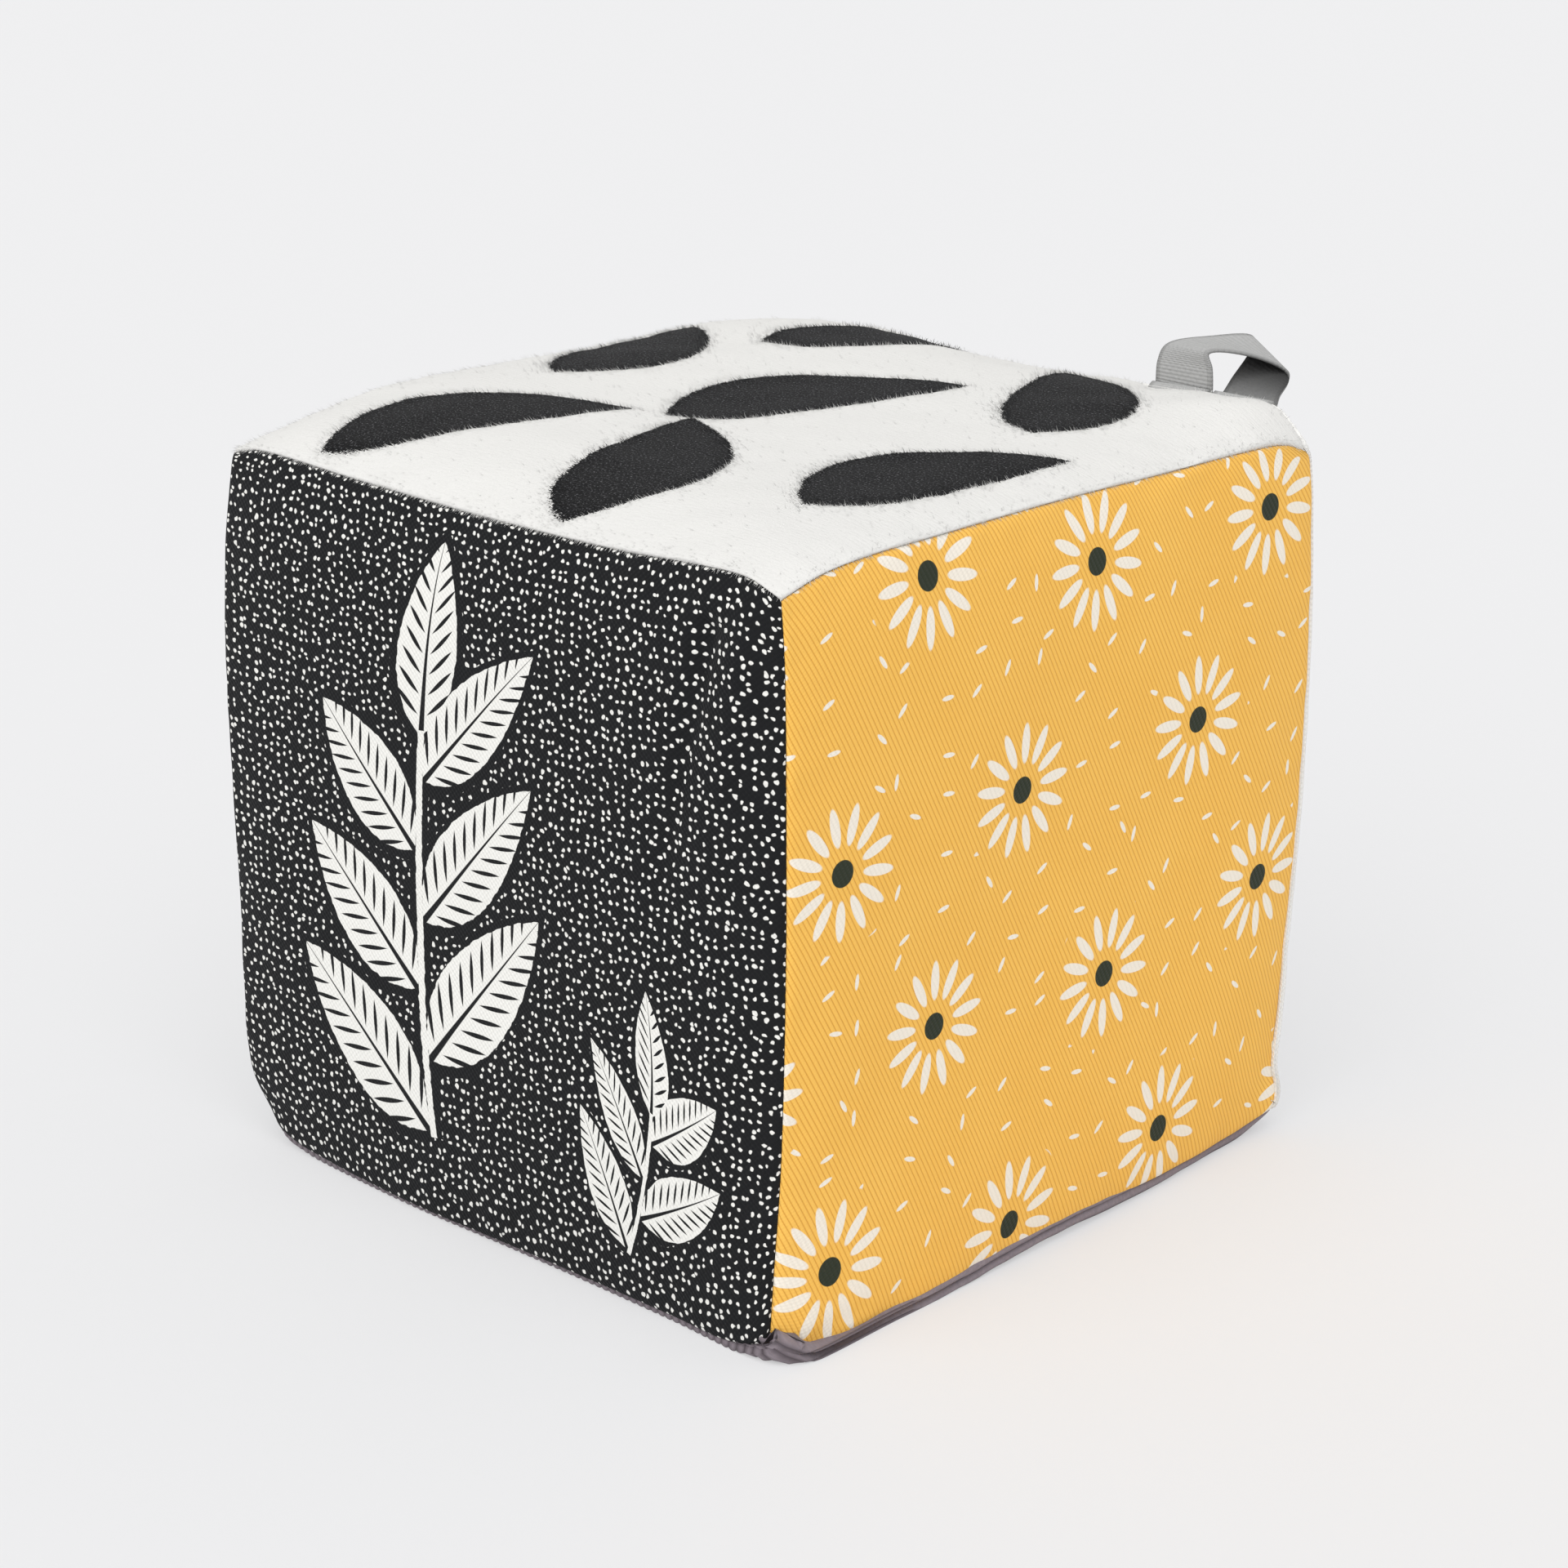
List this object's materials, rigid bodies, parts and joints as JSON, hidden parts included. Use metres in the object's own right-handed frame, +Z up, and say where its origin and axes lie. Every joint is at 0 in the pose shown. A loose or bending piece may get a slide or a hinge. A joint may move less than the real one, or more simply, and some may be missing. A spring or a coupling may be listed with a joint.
{
  "type": "soft fabric block",
  "caption": "Soft foam-filled cloth cube for a baby, with patterned cotton sides, a plush top, a ribbed underside and a small ribbon loop at one top edge.",
  "frame": {"origin": "middle of the flat underside, on the surface that the block rests on", "axes": "+Z up, -Y out of the black front face, +X out of the mustard right face; the ribbon loop stands behind the top and back edge, near +X"},
  "size_m": [0.1368, 0.1509, 0.1411],
  "materials": {
    "plush": "short-pile white plush with black shapes",
    "corduroy": "fine-ribbed purple-grey corduroy",
    "black_cotton": "plain-weave black cotton, printed white",
    "white_cotton": "plain-weave white cotton, printed dark grey",
    "mustard_twill": "mustard cotton twill, printed white and dark green",
    "grey_cotton": "plain-weave grey cotton",
    "foam": "open-cell foam",
    "cotton_tape": "woven grey cotton tape"
  },
  "bodies": {
    "block": {"top_panel": "plush", "bottom_panel": "corduroy", "front_panel": "black_cotton", "back_panel": "white_cotton", "right_panel": "mustard_twill", "left_panel": "grey_cotton", "foam_core": "foam", "ribbon_end_left": "cotton_tape", "ribbon_end_right": "cotton_tape"},
    "loop": {"ribbon_loop": "cotton_tape"}
  },
  "joints": [
    {"name": "loop_flop", "type": "hinge", "parent": "block", "child": "loop", "pos_m": [0.044, 0.065, 0.1312], "axis": [1, 0, 0], "range_deg": [-55, 55], "stiffness_Nm_per_rad": 0.002}
  ]
}
